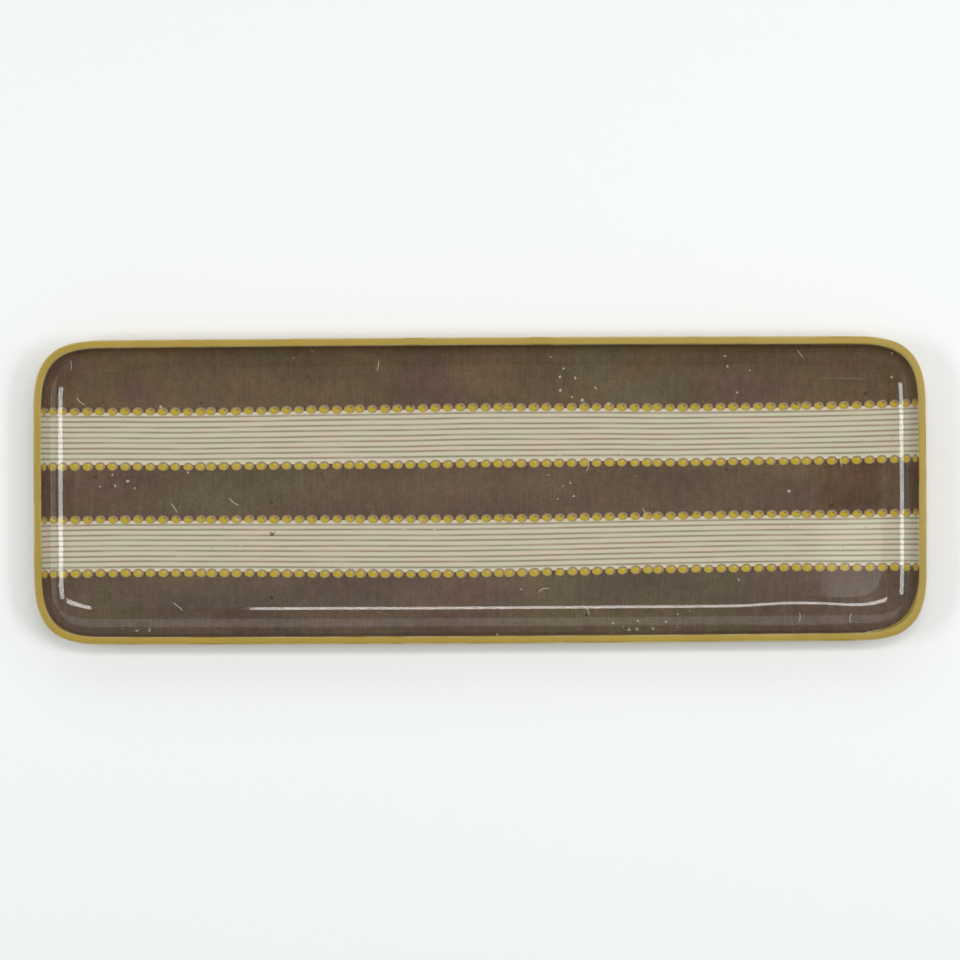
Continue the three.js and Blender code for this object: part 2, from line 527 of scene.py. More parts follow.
def outline_place(outline, given, station, inset):
    """The outline at an inset, for the station that each point belongs to."""
    node = inset.tree.nodes.new("GeometryNodeGroup")
    node.node_tree = outline
    for name, _ in OUTLINE_INPUTS:
        feed(node.inputs[name], given[name])
    for name, value in station.items():
        feed(node.inputs[name], value)
    feed(node.inputs["Inset"], inset)
    return fields(node.outputs)


QUARTERS = 4.0
MIDDLE_QUARTER = 1.5  # quarters 0 to 3 run from the right end round by the back


def station_values(given, count, along):
    """Which part of the outline a station lies on, from its share of the way round."""
    per_quarter = count / QUARTERS
    index = round(along * count) % count
    quarter = math_node("FLOOR", index / per_quarter)
    step = index % per_quarter
    backwards = quarter % 2.0
    step = step + backwards * (per_quarter - step * 2.0)
    past_end = step - given["Short Side Steps"]
    past_corner = past_end - given["Corner Steps"]
    left = abs(quarter - MIDDLE_QUARTER) < 1.0
    front = quarter > MIDDLE_QUARTER
    return {
        "Along Short Side": clamped(step / given["Short Side Steps"]),
        "Corner Turn": clamped(past_end / given["Corner Steps"]) * (math.pi / 2),
        "Along Long Side": clamped(past_corner / given["Long Side Steps"]),
        "Side X": 1.0 - left * 2.0,
        "Side Y": 1.0 - front * 2.0,
    }


def trimmed_edge(given, x, y):
    """How far the lining's edge stops short of the rim: a little everywhere, most at one corner."""
    ragged = noise_field(vector_node(x, y, 0.0), given["Edge Trim Length"], given["Ripple Seed"])
    from_corner = length_node(x - given["Short Corner X"], y - given["Short Corner Y"])
    near = from_corner / given["Short Corner Reach"]
    near = clamped(1.0 - near * near)
    return ragged * given["Edge Trim"] + near * given["Short Corner Trim"]


def low_swell(given, place):
    """Height of one low swell, rounded off to nothing at its reach."""
    x, y, _ = vector_parts(place)
    out_x = (x - given["Swell X"]) / given["Swell Reach X"]
    out_y = (y - given["Swell Y"]) / given["Swell Reach Y"]
    inside = clamped(1.0 - (out_x * out_x + out_y * out_y))
    return inside * inside * given["Swell Height"]


def shell_group():
    """Carries a section round the tray's outline as one closed skin, and flattens it for the print."""
    outline = outline_group()
    tree, given, result = new_tree(
        "tray_shell",
        "GeometryNodeTree",
        [("Section", "NodeSocketGeometry")] + SHELL_INPUTS,
        [("Shell", "NodeSocketGeometry")],
    )
    section = given["Section"]
    size = tree.nodes.new("GeometryNodeAttributeDomainSize")
    feed(size.inputs["Geometry"], section)
    rows = Field(size.outputs["Point Count"])
    per_quarter = given["Short Side Steps"] + given["Corner Steps"] + given["Long Side Steps"]
    stations = per_quarter * QUARTERS
    grid = tree.nodes.new("GeometryNodeMeshGrid")
    grid.inputs["Size X"].default_value = 1.0
    grid.inputs["Size Y"].default_value = 1.0
    feed(grid.inputs["Vertices X"], stations + 1.0)
    feed(grid.inputs["Vertices Y"], rows)
    grid_place = node_field(tree, "GeometryNodeInputPosition", "Position")
    along, up, _ = vector_parts(grid_place)
    row = round((up + 0.5) * (rows - 1.0))
    station = station_values(given, stations, along + 0.5)
    at_row = {}
    for name in ("middle", "lining_edge", "lean", "well_side"):
        at_row[name] = section_value(section, row, stored_field(tree, name, "FLOAT"), "FLOAT")
    section_place = node_field(tree, "GeometryNodeInputPosition", "Position")
    section_place = section_value(section, row, section_place, "FLOAT_VECTOR")

    inset, flat_inset, height = vector_parts(section_place)
    untrimmed = outline_place(outline, given, station, inset)
    trim = at_row["lining_edge"] * trimmed_edge(given, untrimmed["X"], untrimmed["Y"])
    inset = inset + trim * math_node("COSINE", at_row["lean"])
    height = height - trim * math_node("SINE", at_row["lean"])
    unrolled = inset - (flat_inset + trim)
    ring = outline_place(outline, given, station, inset)
    spread = 1.0 - at_row["middle"]
    x = ring["X"] * spread
    y = ring["Y"] * spread
    flat_x = x + ring["Outward X"] * unrolled
    flat_y = y + ring["Outward Y"] * unrolled
    flat_u = flat_x / given["Flat Length"] + 0.5
    flat_v = flat_y / given["Flat Width"] + 0.5
    flat_place = vector_node(flat_x, flat_y, 0.0)
    sheet = grid.outputs["Mesh"]
    sheet = stored(sheet, "OFBake", "FLOAT2", "CORNER", vector_node(flat_u, flat_v, 0.0))
    sheet = stored(sheet, "flat_place", "FLOAT_VECTOR", "POINT", flat_place)
    sheet = stored(sheet, "well_side", "FLOAT", "POINT", at_row["well_side"])
    shaped = tree.nodes.new("GeometryNodeSetPosition")
    feed(shaped.inputs["Geometry"], sheet)
    feed(shaped.inputs["Position"], vector_node(x, y, height))
    welded = tree.nodes.new("GeometryNodeMergeByDistance")
    welded.inputs["Distance"].default_value = WELD_DISTANCE
    feed(welded.inputs["Geometry"], shaped.outputs["Geometry"])

    flat = stored_field(tree, "flat_place", "FLOAT_VECTOR")
    ripple = noise_field(flat, given["Ripple Length"], given["Ripple Seed"])
    lift = (ripple - 0.5) * given["Ripple Height"] + low_swell(given, flat)
    lift = lift * stored_field(tree, "well_side", "FLOAT")
    rippled = tree.nodes.new("GeometryNodeSetPosition")
    feed(rippled.inputs["Geometry"], welded.outputs["Geometry"])
    feed(rippled.inputs["Offset"], vector_node(0.0, 0.0, lift))

    bend = node_field(tree, "GeometryNodeInputMeshEdgeAngle", "Unsigned Angle")
    smooth = tree.nodes.new("GeometryNodeSetShadeSmooth")
    smooth.domain = "FACE"
    smooth.inputs["Shade Smooth"].default_value = True
    feed(smooth.inputs["Geometry"], rippled.outputs["Geometry"])
    sharp = tree.nodes.new("GeometryNodeSetShadeSmooth")
    sharp.domain = "EDGE"
    sharp.inputs["Shade Smooth"].default_value = False
    feed(sharp.inputs["Geometry"], smooth.outputs["Geometry"])
    feed(sharp.inputs["Selection"], bend > CREASE_ANGLE)
    cleaned = sharp.outputs["Geometry"]
    for name in ("flat_place", "well_side"):
        remove = tree.nodes.new("GeometryNodeRemoveAttribute")
        remove.inputs["Name"].default_value = name
        feed(remove.inputs["Geometry"], cleaned)
        cleaned = remove.outputs["Geometry"]
    realized = tree.nodes.new("GeometryNodeRealizeInstances")
    feed(realized.inputs["Geometry"], cleaned)
    dressed = tree.nodes.new("GeometryNodeSetMaterial")
    feed(dressed.inputs["Geometry"], realized.outputs["Geometry"])
    feed(dressed.inputs["Material"], given["Material"])
    feed(result["Shell"], dressed.outputs["Geometry"])
    return tree


shell_tree = shell_group()
flat_growth = -2 * wall_rows(0.0, tray_height, 1.0)[-1]["place"][1]
flat_length = tray_high.x - tray_low.x + flat_growth
flat_width = tray_high.y - tray_low.y + flat_growth
TRAY_SHAPE = {
    "Length": tray_high.x - tray_low.x,
    "Width": tray_high.y - tray_low.y,
    "Long Side Bow": LONG_SIDE_BOW,
    "Short Side Bow": SHORT_SIDE_BOW,
    "Corner Extent": CORNER_EXTENT,
    "Corner Exponent": CORNER_EXPONENT,
    "Corner Shrink": CORNER_SHRINK,
    "Flat Length": flat_length,
    "Flat Width": flat_width,
    "Short Side Steps": END_STEPS,
    "Corner Steps": CORNER_STEPS,
    "Long Side Steps": SIDE_STEPS,
    "Ripple Height": RIPPLE_HEIGHT,
    "Ripple Length": RIPPLE_LENGTH,
    "Ripple Seed": RIPPLE_SEED,
    "Edge Trim": 0.0,
    "Edge Trim Length": RIPPLE_LENGTH,
    "Short Corner X": 0.0,
    "Short Corner Y": 0.0,
    "Short Corner Reach": 1.0,
    "Short Corner Trim": 0.0,
    "Swell X": SWELL_PLACE[0],
    "Swell Y": SWELL_PLACE[1],
    "Swell Reach X": SWELL_REACH[0],
    "Swell Reach Y": SWELL_REACH[1],
    "Swell Height": SWELL_HEIGHT,
}


def swept_shell(name, rows, material, **changes):
    """Makes one piece: a row of points for its section, carried round by the shell tree."""
    section = bpy.data.meshes.new(name)
    pairs = [(i, i + 1) for i in range(len(rows) - 1)]
    section.from_pydata([row["place"] for row in rows], pairs, [])
    for field in ("well_side", "middle", "lining_edge", "lean"):
        values = section.attributes.new(field, "FLOAT", "POINT")
        values.data.foreach_set("value", [row[field] for row in rows])
    piece = bpy.data.objects.new(name, section)
    bpy.context.collection.objects.link(piece)
    modifier = piece.modifiers.new("shell", "NODES")
    modifier.node_group = shell_tree
    settings = {**TRAY_SHAPE, **changes, "Material": material}
    for item in shell_tree.interface.items_tree:
        if item.in_out == "INPUT" and item.name in settings:
            modifier[item.identifier] = settings[item.name]
    shown = piece.evaluated_get(bpy.context.evaluated_depsgraph_get())
    mesh = bpy.data.meshes.new_from_object(shown)
    mesh.name = name
    mesh.materials.pop(index=EMPTY_SLOT)
    piece.modifiers.remove(modifier)
    piece.data = mesh
    return piece


def new_material(name):
    material = bpy.data.materials.new(name)
    material.use_nodes = True
    return material, material.node_tree, material.node_tree.nodes["Principled BSDF"]


FULL_TONE = 255
TONE_OFFSET = 0.055
TONE_POWER = 2.4


def colour(red, green, blue):
    """A shader colour from one that is written as it looks, 0 to 255."""
    tones = [(value / FULL_TONE + TONE_OFFSET) / (1 + TONE_OFFSET) for value in (red, green, blue)]
    return (*(tone ** TONE_POWER for tone in tones), 1.0)


def mixed(amount, base, over):
    node = amount.tree.nodes.new("ShaderNodeMix")
    node.data_type = "RGBA"
    feed(node.inputs["Factor"], amount)
    feed(node.inputs["A"], base)
    feed(node.inputs["B"], over)
    return Field(node.outputs["Result"])


# Each noise in the melamine is the size of its lumps and its seed, and each span is two values
# between which a change sets in.
MUSTARD = colour(164, 138, 40)
MUSTARD_WARM = colour(171, 142, 44)
MUSTARD_GRAIN = colour(178, 152, 64)
# The paler tone put on the rim's outer shoulder is painted sheen: it stands in for the bright surroundings
# seen there in the gloss, and is broken into patches like rubbing wear.
MUSTARD_SHOULDER_SHEEN = colour(196, 178, 120)
TONE_NOISE = (22 * MM, 1.3)
TONE_SPAN = (0.35, 0.65)
GRAIN_NOISE = (0.6 * MM, 2.9)
GRAIN_SPAN = (0.5, 0.85)
GRAIN_RELIEF = 0.01 * MM
SHEEN_PATCH_NOISE = (9 * MM, 5.5)
SHEEN_PATCH_SPAN = (0.2, 0.6)
SHEEN_TILT_SPAN = (0.97, 0.72)
SMOOTHEST_BODY = 0.4
ROUGHEST_BODY = 0.54


def chosen(low, high, switch):
    """low where the switch is 0 and high where it is 1."""
    return low + switch * (high - low)


def bumped(height, depth):
    """Normal of a surface with a fine relief of the given depth."""
    node = height.tree.nodes.new("ShaderNodeBump")
    node.inputs["Distance"].default_value = depth
    feed(node.inputs["Height"], height)
    return node.outputs["Normal"]


def mustard_melamine():
    material, tree, shader = new_material("mustard_melamine")
    place = node_field(tree, "ShaderNodeTexCoord", "Object")
    grain = noise_field(place, *GRAIN_NOISE)
    tone = mixed(eased(noise_field(place, *TONE_NOISE), *TONE_SPAN), MUSTARD, MUSTARD_WARM)
    tone = mixed(eased(grain, *GRAIN_SPAN), tone, MUSTARD_GRAIN)
    upward = vector_parts(node_field(tree, "ShaderNodeNewGeometry", "Normal"))[2]
    height = vector_parts(place)[2]
    # Painted sheen: where the shoulder turns down, the tone is paled in patches. This stands in for the
    # bright room seen there at a grazing angle.
    on_shoulder = eased(height, tray_height - SHOULDER_RADIUS, tray_height - SHOULDER_RADIUS / 2)
    sheen_patches = eased(noise_field(place, *SHEEN_PATCH_NOISE), *SHEEN_PATCH_SPAN)
    shoulder_sheen = eased(upward, *SHEEN_TILT_SPAN) * on_shoulder * sheen_patches
    tone = mixed(shoulder_sheen, tone, MUSTARD_SHOULDER_SHEEN)
    feed(shader.inputs["Base Color"], tone)
    feed(shader.inputs["Roughness"], chosen(SMOOTHEST_BODY, ROUGHEST_BODY, grain))
    shader.inputs["IOR"].default_value = SURFACE_IOR
    feed(shader.inputs["Normal"], bumped(grain, GRAIN_RELIEF))
    return material


def body_rows():
    straight_up = math.pi / 2
    well_facing = straight_up - WALL_ANGLE
    rim_edge_z = tray_height - RIM_EDGE_RADIUS
    rim_edge_centre = Vector((inset_on_wall(rim_edge_z, RIM_EDGE_RADIUS), rim_edge_z))
    rim_edge_start = rim_edge_z + RIM_EDGE_RADIUS * math.sin(well_facing)
    inner = floor_rows(floor_top, 1.0) + wall_rows(0.0, rim_edge_start, 1.0)
    rim_edge = arc_rows(rim_edge_centre, RIM_EDGE_RADIUS, well_facing, straight_up, RIM_EDGE_STEPS)
    shoulder = arc_rows(
        shoulder_centre, SHOULDER_RADIUS, straight_up, well_facing + math.pi, SHOULDER_STEPS
    )
    underside = wall_rows(-WALL_THICKNESS, shoulder[-1]["place"][2], 0.0)[:-1]
    underside.reverse()
    foot_outer = floor_edge + FOOT_SET_BACK
    foot_inner = foot_outer + FOOT_WIDTH
    foot = [
        section_row(foot_outer, FOOT_HEIGHT),
        section_row(foot_outer + FOOT_TAPER, 0.0),
        section_row(foot_inner - FOOT_TAPER, 0.0),
        section_row(foot_inner, FOOT_HEIGHT),
    ]
    lower_middle = section_row(DEEPEST_RING, FOOT_HEIGHT, middle=1.0)
    return inner + rim_edge[1:] + shoulder + underside + foot + [lower_middle]


tray_moulding = swept_shell("tray_moulding", body_rows(), mustard_melamine())
moulding_maps = tray_moulding.data.uv_layers
moulding_maps.remove(moulding_maps["OFBake"])
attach(tray_moulding, "root")
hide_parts("tray_body")

# Printed foil
# A thin resin-soaked paper pressed onto the inside of the moulding, up to just below the rim.
# It is printed flat, so the pattern is placed on the unrolled sheet: brown cloth-like bands, two
# cream bands with fine lines in them, and a row of yellow beads along every edge between bands.
BOND_GAP = 0.05 * MM
FOIL_THICKNESS = 0.2 * MM
FOIL_EDGE_DROP = 0.5 * MM
EDGE_TRIM = 0.4 * MM
EDGE_TRIM_LENGTH = 14 * MM
SHORT_CORNER = (179 * MM, -55 * MM)
SHORT_CORNER_REACH = 17 * MM
SHORT_CORNER_TRIM = 2.4 * MM
GLOSS_ROUGHNESS = 0.03
SMUDGED_ROUGHNESS = 0.05


def random_parts(first, second):
    """Three random values from 0 to 1 that belong to a pair of numbers."""
    pair = vector_node(first, second, 0.0)
    node = pair.tree.nodes.new("ShaderNodeTexWhiteNoise")
    node.noise_dimensions = "2D"
    feed(node.inputs["Vector"], pair)
    return vector_parts(Field(node.outputs["Color"]))


def stretched_noise(along, away, size_along, size_away, seed):
    """Noise whose lumps have one size along the sheet and another across it."""
    place = vector_node(along / size_along, away / size_away, 0.0)
    return noise_field(place, 1.0, seed)


def sheet_place(tree):
    """Place on the sheet as it lies flat before it is pressed into the tray."""
    uv = tree.nodes.new("ShaderNodeUVMap")
    uv.uv_map = "OFBake"
    u, v, _ = vector_parts(Field(uv.outputs["UV"]))
    return (u - 0.5) * flat_length, (v - 0.5) * flat_width


# Each noise in the print is the sizes of its lumps along and across the sheet and its seed, and
# each span is two values between which a change sets in.
ROW_PLACES = (35.3 * MM, 11.6 * MM, -11.5 * MM, -34.7 * MM)
PRINT_SHIFT = -0.2 * MM
PRINT_LEAN = 0.0037
PRINT_SAG = 0.6 * MM
PRINT_STRETCH = 0.0135
STRETCH_LENGTH = 260 * MM
STRETCH_SHIFT = 10 * MM
PRINT_WANDER = 0.6 * MM
WANDER_NOISE = (45 * MM, 45 * MM, 8.1)


def print_place(along, away):
    """Place across the print, from its middle line, which slants, sags and wanders a little."""
    share = along / (flat_length / 2)
    middle = along * PRINT_LEAN + PRINT_SHIFT + share * share * PRINT_SAG
    turn = (along + STRETCH_SHIFT) * (2 * math.pi / STRETCH_LENGTH)
    stretch = math_node("COSINE", turn) * PRINT_STRETCH + 1.0
    wander = stretched_noise(along, away, *WANDER_NOISE)
    return (away - middle) / stretch + (wander - 0.5) * PRINT_WANDER


def nearest_row(place):
    """For the nearest bead row: height over it, whether the cream is above it, its number, band height."""
    over = []
    for upper, lower in zip(ROW_PLACES, ROW_PLACES[1:]):
        over.append(place > (upper + lower) / 2)
    back, back_middle, front_middle, front = ROW_PLACES
    row_place = chosen(front, front_middle, over[2])
    row_place = chosen(row_place, back_middle, over[1])
    row_place = chosen(row_place, back, over[0])
    number = over[0] + over[1] + over[2]
    cream_above = 1.0 - number % 2.0 * 2.0
    band = chosen(front_middle - front, back - back_middle, over[1])
    return place - row_place, cream_above, number, band


BROWN_BACK = colour(94, 73, 46)
BROWN_FRONT = colour(89, 71, 57)
BROWN_RED = colour(91, 66, 52)
BROWN_GREEN = colour(92, 78, 54)
FRONT_TO_BACK = (-60 * MM, 60 * MM)
REDDENING = 0.12
REDDENING_LENGTH = 170 * MM
REDDENING_SHIFT = 23 * MM
CLOUD = 0.7
CLOUD_NOISE = (38 * MM, 46 * MM, 0.4)
PATCH = 0.6
PATCH_NOISE = (21 * MM, 13 * MM, 6.6)
GREEN_SPAN = (0.65, 0.33)
RED_SPAN = (0.65, 0.95)
SHADE_CONTRAST = 0.6
SHADE_NOISE = (34 * MM, 15 * MM, 3.3)
MOTTLE_CONTRAST = 0.4
MOTTLE_NOISE = (3.4 * MM, 4.6 * MM, 5.7)
STREAK_CONTRAST = 0.35
STREAK_NOISE = (0.9 * MM, 13 * MM, 1.9)
WEAVE_CONTRAST = 0.5
WEAVE_NOISE = (1.1 * MM, 1.2 * MM, 2.7)


def shaded(tone, lumps, contrast):
    """A tone made darker and lighter by noise around its middle."""
    node = tone.tree.nodes.new("ShaderNodeVectorMath")
    node.operation = "SCALE"
    feed(node.inputs["Vector"], tone)
    feed(node.inputs["Scale"], (lumps - 0.5) * contrast + 1.0)
    return Field(node.outputs["Vector"])


def brown_cloth(along, place):
    """Taupe-brown ground with cloudy tones, fine streaks across the tray and a slight weave."""
    turn = (along + REDDENING_SHIFT) * (2 * math.pi / REDDENING_LENGTH)
    cloud = stretched_noise(along, place, *CLOUD_NOISE)
    patch = stretched_noise(along, place, *PATCH_NOISE)
    red = math_node("COSINE", turn) * REDDENING + cloud * CLOUD + patch * PATCH
    tone = mixed(eased(place, *FRONT_TO_BACK), BROWN_FRONT, BROWN_BACK)
    tone = mixed(eased(red, *GREEN_SPAN), tone, BROWN_GREEN)
    tone = mixed(eased(red, *RED_SPAN), tone, BROWN_RED)
    tone = shaded(tone, stretched_noise(along, place, *SHADE_NOISE), SHADE_CONTRAST)
    tone = shaded(tone, stretched_noise(along, place, *MOTTLE_NOISE), MOTTLE_CONTRAST)
    tone = shaded(tone, stretched_noise(along, place, *STREAK_NOISE), STREAK_CONTRAST)
    return shaded(tone, stretched_noise(along, place, *WEAVE_NOISE), WEAVE_CONTRAST)


# In a cream band the second size of a noise is in lines: each lane and each line has its own.
CREAM_PLAIN = colour(206, 195, 170)
CREAM_GREEN = colour(202, 197, 168)
CREAM_PINK = colour(209, 193, 171)
CREAM_BRIGHT = colour(213, 203, 180)
CREAM_GREEN_NOISE = (30 * MM, 1.0, 4.4)
CREAM_GREEN_SPAN = (0.42, 0.7)
CREAM_PINK_NOISE = (24 * MM, 1.0, 7.3)
CREAM_PINK_SPAN = (0.5, 0.75)
LANE_STEP = 1.7
BAND_EDGE = 0.6 * MM
BAND_EDGE_SOFTNESS = 0.2 * MM
LINE_RED = colour(136, 112, 90)
LINE_GREEN = colour(122, 116, 88)
LINE_HUE_NOISE = (23 * MM, 1.0, 2.2)
LINE_HUE_SPAN = (0.4, 0.6)
LINE_FIRST = 2.4 * MM
LINE_PITCH = 2.28 * MM
LINE_ODD_SHIFT = 0.14 * MM
LINE_COUNT = 9
LINE_STEP = 7.7
LINE_WAVE = 0.3 * MM
LINE_WAVE_NOISE = (34 * MM, 1.0, 5.1)
LINE_WIDTH_SPAN = (0.72 * MM, 0.1 * MM)
FAINT_LINE = 0.62
STRONG_LINE = 0.82
STRENGTH_NOISE = (17 * MM, 1.0, 9.2)
STRENGTH_SPAN = (0.3, 0.6)


def cream_cloth(along, below, into_cream):
    """Cream ground, a little green or pink in each lane between lines, brightest along the beads."""
    lane = math_node("FLOOR", (below - LINE_FIRST) / LINE_PITCH) * LANE_STEP
    green = stretched_noise(along, lane, *CREAM_GREEN_NOISE)
    pink = stretched_noise(along, lane, *CREAM_PINK_NOISE)
    tone = mixed(eased(green, *CREAM_GREEN_SPAN), CREAM_PLAIN, CREAM_GREEN)
    tone = mixed(eased(pink, *CREAM_PINK_SPAN), tone, CREAM_PINK)
    return mixed(eased(into_cream, LINE_FIRST, BAND_EDGE), tone, CREAM_BRIGHT)


def fine_lines(along, below):
    """Mask and tone of the lines in a cream band, from the distance below the band's upper beads."""
    number = clamped(round((below - LINE_FIRST) / LINE_PITCH), 0.0, LINE_COUNT - 1.0)
    line = number * LINE_PITCH + LINE_FIRST - number % 2.0 * LINE_ODD_SHIFT
    lane = number * LINE_STEP
    wave = (stretched_noise(along, lane, *LINE_WAVE_NOISE) - 0.5) * LINE_WAVE
    strength = eased(stretched_noise(along, lane, *STRENGTH_NOISE), *STRENGTH_SPAN)
    gap = abs(below - (line + wave))
    mask = eased(gap, *LINE_WIDTH_SPAN) * chosen(FAINT_LINE, STRONG_LINE, strength)
    hue = stretched_noise(along, lane, *LINE_HUE_NOISE)
    return mask, mixed(eased(hue, *LINE_HUE_SPAN), LINE_RED, LINE_GREEN)


# On a bead a distance out is 0 in its middle and 1 at its edge.
BEAD_YELLOW = colour(190, 162, 22)
BEAD_GOLD = colour(178, 154, 54)
BEAD_RING = colour(150, 124, 100)
BEAD_GLINT = colour(206, 190, 112)
BEAD_TICK = colour(92, 70, 40)
BEAD_PITCH = 5.396 * MM
BEAD_REPEAT = 63.75 * MM
BEAD_REPEAT_SHIFT = 181.06 * MM
BEAD_FIRST = 2.21 * MM
BEAD_HALF_LENGTH = 2.15 * MM
BEAD_HALF_HEIGHT = 1.7 * MM
BEAD_JITTER = 0.25 * MM
BEAD_SIZE_CHANGE = 0.1
BEAD_UNEVENNESS = 0.16
BEAD_NOISE = (1.8 * MM, 1.8 * MM, 3.9)
BEAD_SHADE_LEAN = 0.18
BEAD_GOLD_SPAN = (0.15, 0.65)
BEAD_RING_SPAN = (0.68, 0.94)
BEAD_EDGE_SPAN = (1.14, 0.98)
SPOT_BESIDE = 0.28
SPOT_OVER = 0.34
SPOT_SPAN = (0.4, 0.1)
SPOT_STRENGTH = 0.65


def bead_row(along, above, cream_above, row):
    """Mask and tone of the beads, from the place along a row and the height over its middle."""
    run = (along + BEAD_REPEAT_SHIFT) % BEAD_REPEAT
    number = math_node("FLOOR", (run + (BEAD_PITCH / 2 - BEAD_FIRST)) / BEAD_PITCH)
    bead_place = number * BEAD_PITCH + BEAD_FIRST
    shift_x, shift_y, growth = random_parts(number, row)
    growth = (growth - 0.5) * BEAD_SIZE_CHANGE + 1.0
    beside = run - bead_place - (shift_x - 0.5) * BEAD_JITTER
    beside = beside / (growth * BEAD_HALF_LENGTH)
    over = above - (shift_y - 0.5) * BEAD_JITTER
    over = over / BEAD_HALF_HEIGHT / growth
    uneven = stretched_noise(along, above, *BEAD_NOISE)
    out = length_node(beside, over) + (uneven - 0.5) * BEAD_UNEVENNESS
    off_centre = out + (beside + over) * BEAD_SHADE_LEAN
    spot = eased(length_node(beside - SPOT_BESIDE, over - SPOT_OVER), *SPOT_SPAN)
    spot_tone = mixed(eased(cream_above, -1.0, 1.0), BEAD_TICK, BEAD_GLINT)
    tone = mixed(eased(off_centre, *BEAD_GOLD_SPAN), BEAD_YELLOW, BEAD_GOLD)
    tone = mixed(spot * SPOT_STRENGTH, tone, spot_tone)
    tone = mixed(eased(off_centre, *BEAD_RING_SPAN), tone, BEAD_RING)
    return eased(out, *BEAD_EDGE_SPAN), tone


DARK_SPECK = colour(58, 36, 30)
DARK_SPECK_CELL = 15 * MM
DARK_SPECK_RADIUS = 1.0 * MM
DARK_SPECK_SHARE = 0.08
DARK_SPECK_STRENGTH = 0.8
SMALLEST_SPECK = 0.5
SPECK_CORE = 0.4
SPECK_UNEVENNESS = 2.0
SPECK_SEED = 0.7
SPECK_INPUTS = [
    ("Along", FLOAT),
    ("Away", FLOAT),
    ("Cell", FLOAT),
    ("Radius", FLOAT),
    ("Share", FLOAT),
]


def loose_grid(along, away, cell):
    """For the nearest of the points scattered one to a cell: its distance, place and random values."""
    cells = along.tree.nodes.new("ShaderNodeTexVoronoi")
    cells.voronoi_dimensions = "2D"
    cells.inputs["Scale"].default_value = 1.0
    feed(cells.inputs["Vector"], vector_node(along / cell, away / cell, 0.0))
    return fields(cells.outputs)


def specks_group():
    """Mask of round specks scattered over a sheet, one in a share of the cells of a loose grid."""
    tree, given, result = new_tree("scattered_specks", "ShaderNodeTree", SPECK_INPUTS, [("Mask", FLOAT)])
    nearest = loose_grid(given["Along"], given["Away"], given["Cell"])
    chance, growth, _ = vector_parts(nearest["Color"])
    uneven = noise_field(vector_node(given["Along"], given["Away"], 0.0), given["Radius"], SPECK_SEED)
    radius = given["Radius"] * (growth + SMALLEST_SPECK)
    radius = radius * ((uneven - 0.5) * SPECK_UNEVENNESS + 1.0)
    speck = eased(nearest["Distance"] * given["Cell"], radius, radius * SPECK_CORE)
    feed(result["Mask"], speck * (chance < given["Share"]))
    return tree


specks_tree = specks_group()


def specks(along, away, cell, radius, share):
    node = along.tree.nodes.new("ShaderNodeGroup")
    node.node_tree = specks_tree
    for socket, value in zip(node.inputs, (along, away, cell, radius, share)):
        feed(socket, value)
    return Field(node.outputs["Mask"])


BROWN_DIP = colour(76, 56, 38)
DIP_SPAN = (1.9 * MM, 0.9 * MM)
DIP_STRENGTH = 0.5
SMUDGE_NOISE = (24 * MM, 24 * MM, 6.3)
SMUDGE_SPAN = (0.5, 0.8)


def printed_paper():
    material, tree, shader = new_material("printed_paper")
    along, away = sheet_place(tree)
    place = print_place(along, away)
    above, cream_above, row, band = nearest_row(place)
    into_cream = above * cream_above
    below = chosen(into_cream, band - into_cream, eased(cream_above, -1.0, 1.0))
    dip = eased(abs(into_cream), *DIP_SPAN) * DIP_STRENGTH
    ground = mixed(dip, brown_cloth(along, place), BROWN_DIP)
    line_mask, line_tone = fine_lines(along, below)
    cream = mixed(line_mask, cream_cloth(along, below, into_cream), line_tone)
    in_band = eased(into_cream, BAND_EDGE - BAND_EDGE_SOFTNESS, BAND_EDGE + BAND_EDGE_SOFTNESS)
    tone = mixed(in_band, ground, cream)
    bead_mask, bead_tone = bead_row(along, above, cream_above, row)
    tone = mixed(bead_mask, tone, bead_tone)
    dark = specks(along, away, DARK_SPECK_CELL, DARK_SPECK_RADIUS, DARK_SPECK_SHARE)
    tone = mixed(dark * DARK_SPECK_STRENGTH, tone, DARK_SPECK)
    feed(shader.inputs["Base Color"], tone)
    smudge = eased(stretched_noise(along, away, *SMUDGE_NOISE), *SMUDGE_SPAN)
    feed(shader.inputs["Roughness"], chosen(GLOSS_ROUGHNESS, SMUDGED_ROUGHNESS, smudge))
    shader.inputs["IOR"].default_value = SURFACE_IOR
    return material


def lining_rows(lower_offset, thickness, edge_drop):
    """Closed section of a thin layer: its upper face out to the edge and its lower face back."""
    top_z = tray_height - edge_drop
    upper_offset = lower_offset + thickness
    upper = floor_rows(floor_top + upper_offset, 1.0) + wall_rows(upper_offset, top_z, 1.0)
    lower = floor_rows(floor_top + lower_offset, 1.0) + wall_rows(lower_offset, top_z, 1.0)
    lower.reverse()
    return upper + lower


printed_foil = swept_shell(
    "printed_foil",
    lining_rows(BOND_GAP, FOIL_THICKNESS, FOIL_EDGE_DROP),
    printed_paper(),
    **{
        "Edge Trim": EDGE_TRIM,
        "Edge Trim Length": EDGE_TRIM_LENGTH,
        "Short Corner X": SHORT_CORNER[0],
        "Short Corner Y": SHORT_CORNER[1],
        "Short Corner Reach": SHORT_CORNER_REACH,
        "Short Corner Trim": SHORT_CORNER_TRIM,
    },
)
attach(printed_foil, "root")
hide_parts("decor_foil")

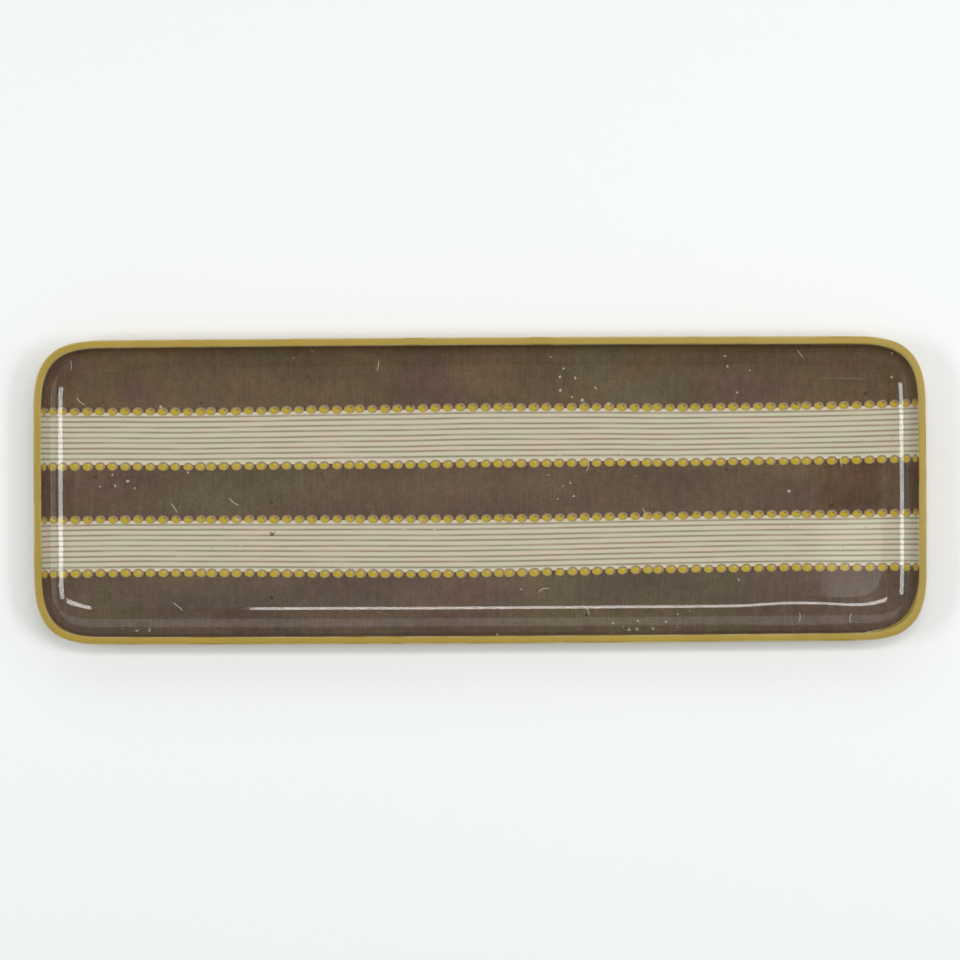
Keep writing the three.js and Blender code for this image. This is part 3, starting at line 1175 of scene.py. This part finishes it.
# Clear glaze
# A thin clear melamine layer pressed over the foil, up to just above the foil's edge. It is
# nearly invisible but for the marks of use in it: pale specks, mostly in clusters, and short
# curved scratches. The foil's material carries the gloss that the two have together.
GLAZE_THICKNESS = 0.2 * MM
GLAZE_EDGE_DROP = 0.45 * MM
GLAZE_TONE = colour(226, 220, 204)
GLAZE_HAZE = 0.006
GLAZE_ROUGHNESS = 0.2
PALE_SPECK_CELL = 5.5 * MM
PALE_SPECK_RADIUS = 0.62 * MM
PALE_SPECK_SHARE = 0.6
PALE_SPECK_OPACITY = 0.38
CLUSTER_NOISE = (24 * MM, 24 * MM, 1.2)
CLUSTER_SPAN = (0.62, 0.76)
SCRATCH_CELL = 22 * MM
SCRATCH_SHARE = 0.24
SCRATCH_HALF_LENGTH = 3.2 * MM
SCRATCH_FULL_LENGTH = SCRATCH_HALF_LENGTH / 2
SCRATCH_HALF_WIDTH = 0.22 * MM
SCRATCH_FULL_WIDTH = SCRATCH_HALF_WIDTH / 3
SCRATCH_BEND = 0.14 / MM
SCRATCH_OPACITY = 0.4


def scratches(along, away):
    """Mask of short bent scratches, one in a share of the cells of a loose grid, each its own way."""
    nearest = loose_grid(along, away, SCRATCH_CELL)
    middle_along, middle_away, _ = vector_parts(nearest["Position"])
    beside = (along / SCRATCH_CELL - middle_along) * SCRATCH_CELL
    over = (away / SCRATCH_CELL - middle_away) * SCRATCH_CELL
    chance, turn, bend = vector_parts(nearest["Color"])
    cosine = math_node("COSINE", turn * math.pi)
    sine = math_node("SINE", turn * math.pi)
    run = beside * cosine + over * sine
    bow = run * run * ((bend - 0.5) * (2 * SCRATCH_BEND))
    off = abs(over * cosine - beside * sine - bow)
    across = eased(off, SCRATCH_HALF_WIDTH, SCRATCH_FULL_WIDTH)
    lengthwise = eased(abs(run), SCRATCH_HALF_LENGTH, SCRATCH_FULL_LENGTH)
    return across * lengthwise * (chance < SCRATCH_SHARE)


def clear_melamine():
    material, tree, shader = new_material("clear_melamine")
    along, away = sheet_place(tree)
    cluster = eased(stretched_noise(along, away, *CLUSTER_NOISE), *CLUSTER_SPAN)
    pale = specks(along, away, PALE_SPECK_CELL, PALE_SPECK_RADIUS, cluster * PALE_SPECK_SHARE)
    scratched = scratches(along, away) * SCRATCH_OPACITY
    marks = math_node("MAXIMUM", pale * PALE_SPECK_OPACITY, scratched)
    feed(shader.inputs["Alpha"], math_node("MAXIMUM", marks, GLAZE_HAZE))
    shader.inputs["Base Color"].default_value = GLAZE_TONE
    shader.inputs["Roughness"].default_value = GLAZE_ROUGHNESS
    shader.inputs["IOR"].default_value = SURFACE_IOR
    return material


glaze_rows = lining_rows(BOND_GAP + FOIL_THICKNESS + BOND_GAP, GLAZE_THICKNESS, GLAZE_EDGE_DROP)
clear_glaze = swept_shell("clear_glaze_layer", glaze_rows, clear_melamine())
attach(clear_glaze, "root")
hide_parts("clear_glaze")
